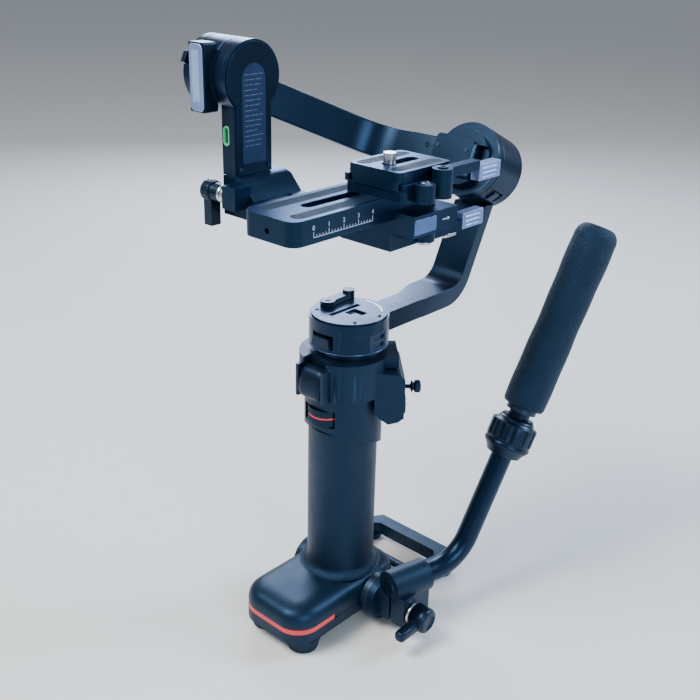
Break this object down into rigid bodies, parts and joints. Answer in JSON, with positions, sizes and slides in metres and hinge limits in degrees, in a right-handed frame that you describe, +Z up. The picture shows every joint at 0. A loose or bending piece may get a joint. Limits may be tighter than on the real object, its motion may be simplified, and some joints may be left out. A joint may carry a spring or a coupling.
{
  "type": "camera gimbal",
  "caption": "Handheld three-axis camera stabiliser on a short base, with slanted motor arms, sliding camera plates and a folding sling grip.",
  "frame": {"origin": "floor level on the handle's axis, at the mouth of the tripod thread", "axes": "+Z up along the handle, -Y the way the camera looks, -X towards the tilt motor"},
  "size_m": [0.1879, 0.1911, 0.3055],
  "materials": {
    "housing_plastic": "fine satin",
    "arm_metal": "satin anodised look",
    "stage_metal": "satin",
    "black_trim": "matte",
    "accent_red": "gloss",
    "foot_rubber": "matte",
    "fastener_steel": "brushed",
    "inner_metal": "satin",
    "tab_grey": "satin",
    "light_panel": "frosted",
    "cell_wrap": "satin",
    "port_green": "gloss",
    "foam": "soft pebbled foam",
    "arm_cover": "satin"
  },
  "bodies": {
    "base": {"base_shell": "housing_plastic", "base_cover": "housing_plastic", "base_stripe": "accent_red", "base_feet": "foot_rubber", "base_screws": "fastener_steel", "wrist_rest": "housing_plastic", "rosettes": "inner_metal", "grip_shell": "housing_plastic", "battery_cells": "cell_wrap", "head_collar": "housing_plastic", "head_housing": "housing_plastic", "side_pod": "housing_plastic", "pan_stator": "inner_metal", "pan_bearings": "fastener_steel"},
    "trigger": {"trigger": "black_trim"},
    "front_dial": {"front_dial": "black_trim"},
    "joystick_cradle": {"joystick_cradle": "inner_metal"},
    "joystick": {"joystick": "black_trim"},
    "side_wheel": {"side_wheel": "black_trim"},
    "pan_unit": {"pan_housing": "arm_metal", "pan_cover": "arm_metal", "motor_ports": "inner_metal"},
    "pan_lock": {"pan_lock": "black_trim"},
    "pan_lever": {"pan_lever": "black_trim"},
    "yaw_unit": {"yaw_arm": "arm_metal", "roll_housing": "arm_metal", "roll_cap": "arm_metal", "roll_bearings": "fastener_steel"},
    "roll_lock": {"roll_lock": "inner_metal"},
    "roll_rotor": {"roll_rotor": "arm_metal"},
    "roll_unit": {"roll_arm": "arm_metal", "tilt_housing": "arm_metal", "tilt_cap": "arm_metal", "tilt_bearings": "fastener_steel", "light_housing": "black_trim", "light_diffuser": "light_panel"},
    "tilt_lock": {"tilt_lock": "black_trim"},
    "tilt_unit": {"tilt_arm": "arm_metal", "tilt_cover": "arm_cover", "tilt_port": "port_green"},
    "stage": {"stage_arm": "stage_metal", "lower_clamp": "stage_metal"},
    "height_lever": {"height_lever": "black_trim"},
    "lower_lever": {"lower_lever": "stage_metal", "lower_tab": "tab_grey"},
    "plate": {"lower_plate": "stage_metal", "plate_strips": "foot_rubber", "upper_clamp": "stage_metal"},
    "upper_lever": {"upper_lever": "stage_metal", "upper_tab": "tab_grey"},
    "upper_plate": {"upper_plate": "stage_metal", "upper_strips": "foot_rubber"},
    "camera_screw": {"camera_screw": "fastener_steel"},
    "sling": {"sling_clamp": "housing_plastic", "sling_tube": "arm_metal", "tube_cap": "black_trim"},
    "sling_knob": {"sling_knob": "black_trim"},
    "grip": {"grip_tube": "inner_metal", "foam_grip": "foam"},
    "lock_collar": {"lock_collar": "black_trim"}
  },
  "joints": [
    {"name": "trigger_pull", "type": "hinge", "parent": "base", "child": "trigger", "pos_m": [0, -0.0195, 0.152], "axis": [1, 0, 0], "range_deg": [0, 11], "stiffness_Nm_per_rad": 0.08, "springref_deg": -8.59},
    {"name": "dial_turn", "type": "hinge", "parent": "base", "child": "front_dial", "pos_m": [0, -0.0126, 0.1255], "axis": [0, 0, 1], "continuous": true},
    {"name": "cradle_tilt", "type": "hinge", "parent": "base", "child": "joystick_cradle", "pos_m": [0.01888, 0.01888, 0.136], "axis": [-0.7071, 0.7071, 0], "range_deg": [-12, 12], "stiffness_Nm_per_rad": 0.01},
    {"name": "stick_tilt", "type": "hinge", "parent": "joystick_cradle", "child": "joystick", "pos_m": [0.01888, 0.01888, 0.136], "axis": [0, 0, 1], "range_deg": [-12, 12], "stiffness_Nm_per_rad": 0.01},
    {"name": "wheel_turn", "type": "hinge", "parent": "base", "child": "side_wheel", "pos_m": [0.02121, 0.02121, 0.1262], "axis": [0.7071, 0.7071, 0], "continuous": true},
    {"name": "pan", "type": "hinge", "parent": "base", "child": "pan_unit", "pos_m": [0, 0.003, 0.165], "axis": [0, 0, 1], "continuous": true},
    {"name": "pan_lock_slide", "type": "slide", "parent": "pan_unit", "child": "pan_lock", "axis": [0, 0, 1], "range_m": [0, 0.0012]},
    {"name": "pan_lever_swing", "type": "hinge", "parent": "pan_unit", "child": "pan_lever", "pos_m": [-0.0125, 0, 0.178], "axis": [0, 0, 1], "range_deg": [0, 80]},
    {"name": "yaw_arm_slide", "type": "slide", "parent": "pan_unit", "child": "yaw_unit", "axis": [0, 1, 0], "range_m": [-0.006, 0.012]},
    {"name": "roll_lock_slide", "type": "slide", "parent": "yaw_unit", "child": "roll_lock", "axis": [0, 0.9026, -0.4305], "range_m": [0, 0.003]},
    {"name": "roll", "type": "hinge", "parent": "yaw_unit", "child": "roll_rotor", "pos_m": [0, 0.003, 0.2865], "axis": [0, 0.9026, -0.4305], "range_deg": [-35, 120]},
    {"name": "roll_arm_slide", "type": "slide", "parent": "roll_rotor", "child": "roll_unit", "axis": [1, 0, 0], "range_m": [-0.006, 0.01]},
    {"name": "tilt_lock_slide", "type": "slide", "parent": "roll_unit", "child": "tilt_lock", "axis": [1, 0, 0], "range_m": [0, 0.0012]},
    {"name": "tilt", "type": "hinge", "parent": "roll_unit", "child": "tilt_unit", "pos_m": [-0.08, 0.003, 0.2865], "axis": [1, 0, 0], "range_deg": [-150, 20]},
    {"name": "stage_height", "type": "slide", "parent": "tilt_unit", "child": "stage", "axis": [0, 0, 1], "range_m": [-0.018, 0]},
    {"name": "height_lever_turn", "type": "hinge", "parent": "stage", "child": "height_lever", "pos_m": [-0.08, -0.0155, 0.228], "axis": [1, 0, 0], "range_deg": [-90, 90]},
    {"name": "lower_lever_swing", "type": "hinge", "parent": "stage", "child": "lower_lever", "pos_m": [0.0265, 0.028, 0.22], "axis": [0, 0, -1], "range_deg": [0, 75]},
    {"name": "plate_slide", "type": "slide", "parent": "stage", "child": "plate", "axis": [0, 1, 0], "range_m": [-0.012, 0.032]},
    {"name": "upper_lever_swing", "type": "hinge", "parent": "plate", "child": "upper_lever", "pos_m": [0.0354, 0.028, 0.25], "axis": [0, 0, -1], "range_deg": [0, 75]},
    {"name": "upper_plate_slide", "type": "slide", "parent": "plate", "child": "upper_plate", "axis": [0, 1, 0], "range_m": [-0.012, 0.012]},
    {"name": "camera_screw_turn", "type": "hinge", "parent": "upper_plate", "child": "camera_screw", "pos_m": [0.013, 0.015, 0.25], "axis": [0, 0, 1], "continuous": true},
    {"name": "sling_swing", "type": "hinge", "parent": "base", "child": "sling", "pos_m": [0.03, 0.003, 0.015], "axis": [1, 0, 0], "range_deg": [-40, 25]},
    {"name": "sling_knob_turn", "type": "hinge", "parent": "sling", "child": "sling_knob", "pos_m": [0.05, 0.003, 0.015], "axis": [1, 0, 0], "range_deg": [-120, 30]},
    {"name": "grip_extend", "type": "slide", "parent": "sling", "child": "grip", "axis": [0.1003, 0.4024, 0.91], "range_m": [0, 0.045]},
    {"name": "lock_collar_twist", "type": "hinge", "parent": "grip", "child": "lock_collar", "pos_m": [0.05123, 0.04181, 0.0295], "axis": [0.1003, 0.4024, 0.91], "range_deg": [-45, 45]}
  ]
}
